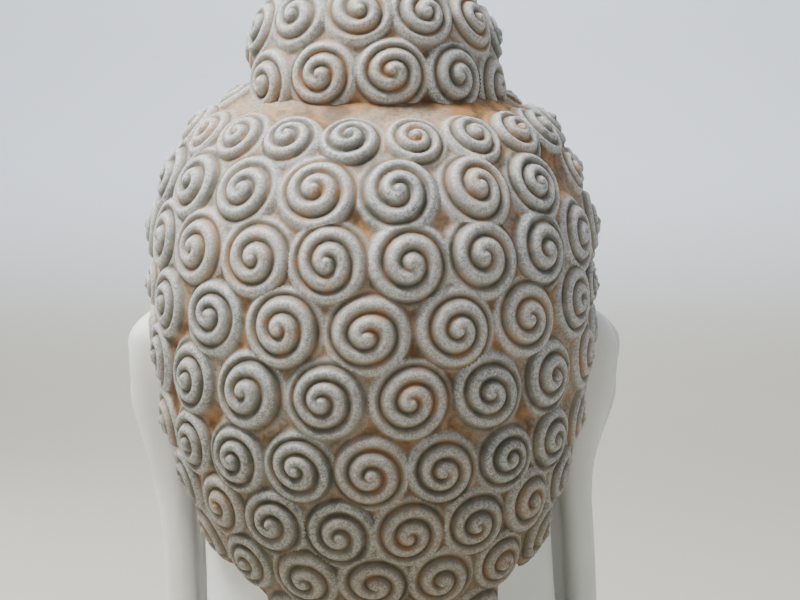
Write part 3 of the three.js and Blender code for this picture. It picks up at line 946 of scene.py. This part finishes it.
def add_neck(bm, forms):
    """Adds the neck as a closed tube of fine rings."""
    angles = np.arange(NECK_SIDES) * FULL / NECK_SIDES
    rings = []
    for z in np.arange(-NECK_BELOW, NECK_FROM + NECK_OVERLAP, NECK_STEP):
        half_width, half_depth, middle = forms.neck_section(z)
        places = zip(half_width * np.sin(angles), middle + half_depth * np.cos(angles))
        rings.append([bm.verts.new(Vector((x, y, z)) * MM) for x, y in places])
    for lower, upper in zip(rings, rings[1:]):
        for number in range(NECK_SIDES):
            after = (number + 1) % NECK_SIDES
            bm.faces.new((lower[number], upper[number], upper[after], lower[after]))
    bm.faces.new(rings[0])
    bm.faces.new(reversed(rings[-1]))


def meet(depths, fillet=3.0, most=5.0):
    """How far a surface swells out where another form comes near, so that the two meet in a fillet."""
    outside = np.minimum(depths, -0.05)
    swell = -fillet * np.log(1 - np.exp(outside / fillet))
    return np.where(depths < 0, np.minimum(swell, most), 0)


class HeadSizes(bpy.types.PropertyGroup):
    height: bpy.props.FloatProperty(
        name="Height", description="From the underside to the top of the topknot", default=0.375, unit="LENGTH"
    )
    skull_width: bpy.props.FloatProperty(
        name="Skull width", description="Width of the skull under the curls", default=0.1895, unit="LENGTH"
    )
    skull_depth: bpy.props.FloatProperty(
        name="Skull depth", description="Depth of the skull under the curls", default=0.2035, unit="LENGTH"
    )
    topknot_width: bpy.props.FloatProperty(
        name="Topknot width", description="Width of the topknot under its curls", default=0.106, unit="LENGTH"
    )
    face_width: bpy.props.FloatProperty(
        name="Face width", description="Width of the face at the temples", default=0.186, unit="LENGTH"
    )
    neck_width: bpy.props.FloatProperty(
        name="Neck width", description="Width of the neck", default=0.157, unit="LENGTH"
    )
    neck_depth: bpy.props.FloatProperty(
        name="Neck depth", description="Depth of the neck", default=0.128, unit="LENGTH"
    )
    curl_pitch: bpy.props.FloatProperty(
        name="Curl pitch", description="Distance from one curl to the next", default=0.034, unit="LENGTH"
    )
    curl_rise: bpy.props.FloatProperty(
        name="Curl rise", description="Height of a curl over the hair between", default=0.0078, unit="LENGTH"
    )
    ear_thickness: bpy.props.FloatProperty(
        name="Ear thickness", description="Thickness of an ear lobe", default=0.014, unit="LENGTH"
    )


class HeadLook(bpy.types.PropertyGroup):
    turns: bpy.props.FloatProperty(
        name="Turns", description="Turns of the whorl from a curl's middle to its foot", default=3.0
    )
    groove: bpy.props.FloatProperty(
        name="Groove",
        description="Depth of the whorl's groove as a share of the curl's rise",
        default=0.32,
        subtype="FACTOR",
    )
    clay: bpy.props.FloatVectorProperty(
        name="Clay", description="Bare clay between the curls", default=paint("clay"), size=4, subtype="COLOR"
    )
    silver: bpy.props.FloatVectorProperty(
        name="Silver", description="Brushed crests of the whorls", default=paint("silver"), size=4, subtype="COLOR"
    )
    skin: bpy.props.FloatVectorProperty(
        name="Skin", description="Glaze of face, ears and neck", default=paint("skin"), size=4, subtype="COLOR"
    )
    seed: bpy.props.IntProperty(
        name="Seed", description="Seed of the small differences between curls", default=5
    )


class BUDDHA_OT_topknot(bpy.types.Operator):
    """Build the topknot with its curls"""

    bl_idname = "buddha.topknot"
    bl_label = "Topknot"

    def execute(self, context):
        forms = Forms(context.scene.head_sizes)
        curls = Curls(forms, context.scene.head_look)
        chosen = np.nonzero(curls.on_topknot)[0]
        bm = bmesh.new()
        bmesh.ops.create_icosphere(bm, subdivisions=7, radius=1)
        directions = unit(mesh_points(bm))
        base = surface_at(directions, forms.topknot_heart, forms.topknot_depth)
        normals = normals_at(base, forms.topknot_depth)
        heights, risen = curl_heights(base, curls, chosen, np.full(len(base), float(CAP_RISE)))
        place_points(bm, base + normals * heights[:, None])
        material = material_named("brushed curls", lambda: hair_material(context.scene.head_look))
        piece = finish_piece(bm, "topknot", material)
        paint_curls(piece, curls, chosen, base, risen)
        return {"FINISHED"}


class BUDDHA_OT_hair(bpy.types.Operator):
    """Build the hair of the skull with its curls"""

    bl_idname = "buddha.hair"
    bl_label = "Hair"

    def execute(self, context):
        forms = Forms(context.scene.head_sizes)
        curls = Curls(forms, context.scene.head_look)
        chosen = np.nonzero(~curls.on_topknot)[0]
        heart = forms.head_heart
        depth = forms.head_over(HAIR_BOTTOM)

        def base_of(points):
            return surface_at(unit(points), heart, depth)

        def under_hair(points):
            base = base_of(points)
            return (forms.hair_reach(base) > -9) & (forms.topknot_depth(base) < 12)

        bm = bmesh.new()
        bmesh.ops.create_icosphere(bm, subdivisions=6, radius=1)
        refine(bm, under_hair)
        refine(bm, under_hair)
        base = base_of(mesh_points(bm))
        normals = normals_at(base, depth, 1.5)
        reach = forms.hair_reach(base)
        cap = lerp(-EDGE_DIVE, CAP_RISE, smoothstep(reach, -3, 1.5))
        cap = cap - FAR_DIVE * smoothstep(-reach, 6, 20)
        heights, risen = curl_heights(base, curls, chosen, cap)
        place_points(bm, base + normals * heights[:, None])
        material = material_named("brushed curls", lambda: hair_material(context.scene.head_look))
        piece = finish_piece(bm, "hair", material)
        paint_curls(piece, curls, chosen, base, risen)
        thin = piece.modifiers.new("Thin", "DECIMATE")
        thin.ratio = HAIR_KEPT
        return {"FINISHED"}


class BUDDHA_OT_skin(bpy.types.Operator):
    """Build the face and the neck, and the two ears that run into them"""

    bl_idname = "buddha.skin"
    bl_label = "Face, neck and ears"

    def execute(self, context):
        forms = Forms(context.scene.head_sizes)
        heart = forms.head_heart
        material = material_named("white skin", lambda: skin_material(context.scene.head_look))
        depth = forms.head_over(NECK_FROM)

        def base_of(points):
            return surface_at(unit(points), heart, depth)

        def bare(points):
            return forms.hair_reach(base_of(points)) < 6

        def face(points):
            base = base_of(points)
            return (base[:, 1] < -30) & (base[:, 2] > forms.chin - 12) & (forms.hair_reach(base) < 4)

        def middle(points):
            base = base_of(points)
            low, high = forms.mouth - 16, forms.brow + 10
            return face(points) & (np.abs(base[:, 0]) < 62) & (base[:, 2] > low) & (base[:, 2] < high)

        bm = bmesh.new()
        bmesh.ops.create_icosphere(bm, subdivisions=6, radius=1)
        refine(bm, bare)
        refine(bm, face)
        refine(bm, middle)
        base = base_of(mesh_points(bm))
        hidden = smoothstep(forms.hair_reach(base), 9, 26)
        place_points(bm, heart + (base - heart) * lerp(1, 0.55, hidden)[:, None])
        add_neck(bm, forms)
        for sign in (-1, 1):
            bm.from_mesh(ear_mesh(forms, sign))
        bm = fused(bm)
        whole = bm.verts[:] + bm.edges[:] + bm.faces[:]
        up = (0, 0, 1)
        cut = bmesh.ops.bisect_plane(bm, geom=whole, plane_co=(0, 0, 0), plane_no=up, clear_inner=True)
        rim = [part for part in cut["geom_cut"] if isinstance(part, bmesh.types.BMEdge)]
        bmesh.ops.edgeloop_fill(bm, edges=rim)
        bottom = [face for face in bm.faces if len(face.verts) > 3]
        bmesh.ops.triangulate(bm, faces=bottom)
        finish_piece(bm, "skin", material)
        return {"FINISHED"}


class BUDDHA_OT_stage(bpy.types.Operator):
    """Build the floor, the lights and the camera"""

    bl_idname = "buddha.stage"
    bl_label = "Stage"

    def execute(self, context):
        scene = context.scene
        bm = bmesh.new()
        profile = [bm.verts.new(point) for point in self.cove_profile(FLOOR_RADIUS, COVE_RADIUS, WALL_TOP)]
        edges = [bm.edges.new(pair) for pair in zip(profile, profile[1:])]
        line = profile + edges
        bmesh.ops.spin(bm, geom=line, cent=(0, 0, 0), axis=(0, 0, 1), angle=FULL, steps=96, use_merge=True)
        bmesh.ops.remove_doubles(bm, verts=bm.verts, dist=0.0001)
        bmesh.ops.recalc_face_normals(bm, faces=bm.faces)
        if bm.faces[0].normal.z < 0:
            bmesh.ops.reverse_faces(bm, faces=bm.faces)
        mesh = bpy.data.meshes.new("floor")
        bm.to_mesh(mesh)
        bm.free()
        mesh.shade_smooth()
        material, tree, shader = surface_material("pale floor")
        place = add_node(tree, "ShaderNodeTexCoord").outputs["Object"]
        level = add_node(tree, "ShaderNodeSeparateXYZ", {0: place}).outputs["Z"]
        shade = mix(tree, ramp(tree, level, 0.0, 0.6), paint("floor"), paint("wall"))
        tree.links.new(shade, shader.inputs["Base Color"])
        shader.inputs["Roughness"].default_value = 0.9
        mesh.materials.append(material)
        floor = bpy.data.objects.new("floor", mesh)
        scene.collection.objects.link(floor)
        floor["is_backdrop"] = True

        for name, (place, target, size, power) in LIGHTS.items():
            self.add_light(scene, name, place, target, size, power)

        world = bpy.data.worlds.new("soft daylight")
        world.use_nodes = True
        background = world.node_tree.nodes["Background"]
        background.inputs["Color"].default_value = paint("sky")
        background.inputs["Strength"].default_value = SKY_STRENGTH
        scene.world = world

        lens = bpy.data.cameras.new("camera")
        lens.sensor_width = CAMERA_SENSOR
        lens.lens = CAMERA_LENS
        camera = bpy.data.objects.new("camera", lens)
        camera.location = CAMERA_PLACE
        camera.rotation_euler = (math.radians(90), 0, math.radians(180))
        scene.collection.objects.link(camera)
        scene.camera = camera
        return {"FINISHED"}

    @staticmethod
    def cove_profile(radius, curve, height):
        """The floor from its middle outwards, round the cove and up the wall."""
        points = [(0, 0, 0), (radius / 2, 0, 0), (radius, 0, 0)]
        for step in range(1, 17):
            angle = math.radians(90) * step / 16
            points.append((radius + curve * math.sin(angle), 0, curve * (1 - math.cos(angle))))
        points.append((radius + curve, 0, height))
        return points

    @staticmethod
    def add_light(scene, name, place, target, size, power):
        light = bpy.data.lights.new(name, "AREA")
        light.shape = "DISK"
        light.size = size
        light.energy = power
        lamp = bpy.data.objects.new(name, light)
        lamp.location = place
        aim = Vector(target) - Vector(place)
        lamp.rotation_euler = aim.to_track_quat("-Z", "Y").to_euler()
        scene.collection.objects.link(lamp)


class BUDDHA_PT_panel(bpy.types.Panel):
    """Sizes, looks and build buttons of the head"""

    bl_idname = "BUDDHA_PT_panel"
    bl_label = "Buddha Head"
    bl_space_type = "VIEW_3D"
    bl_region_type = "UI"
    bl_category = "Buddha Head"

    def draw(self, context):
        column = self.layout.column()
        for group in (context.scene.head_sizes, context.scene.head_look):
            for name in group.__annotations__:
                column.prop(group, name)
        for operator in OPERATORS:
            column.operator(operator.bl_idname)


OPERATORS = (BUDDHA_OT_topknot, BUDDHA_OT_hair, BUDDHA_OT_skin, BUDDHA_OT_stage)
CLASSES = (HeadSizes, HeadLook, *OPERATORS, BUDDHA_PT_panel)


def register():
    for cls in CLASSES:
        bpy.utils.register_class(cls)
    bpy.types.Scene.head_sizes = bpy.props.PointerProperty(type=HeadSizes)
    bpy.types.Scene.head_look = bpy.props.PointerProperty(type=HeadLook)


def unregister():
    del bpy.types.Scene.head_look
    del bpy.types.Scene.head_sizes
    for cls in reversed(CLASSES):
        bpy.utils.unregister_class(cls)


def corners():
    return [[round(value, 5) for value in corner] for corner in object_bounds()]


def main():
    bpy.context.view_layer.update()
    register()
    bpy.ops.buddha.topknot()
    bpy.ops.buddha.hair()
    bpy.ops.buddha.skin()
    bpy.ops.buddha.stage()
    bpy.context.view_layer.update()


if __name__ == "__main__":
    main()
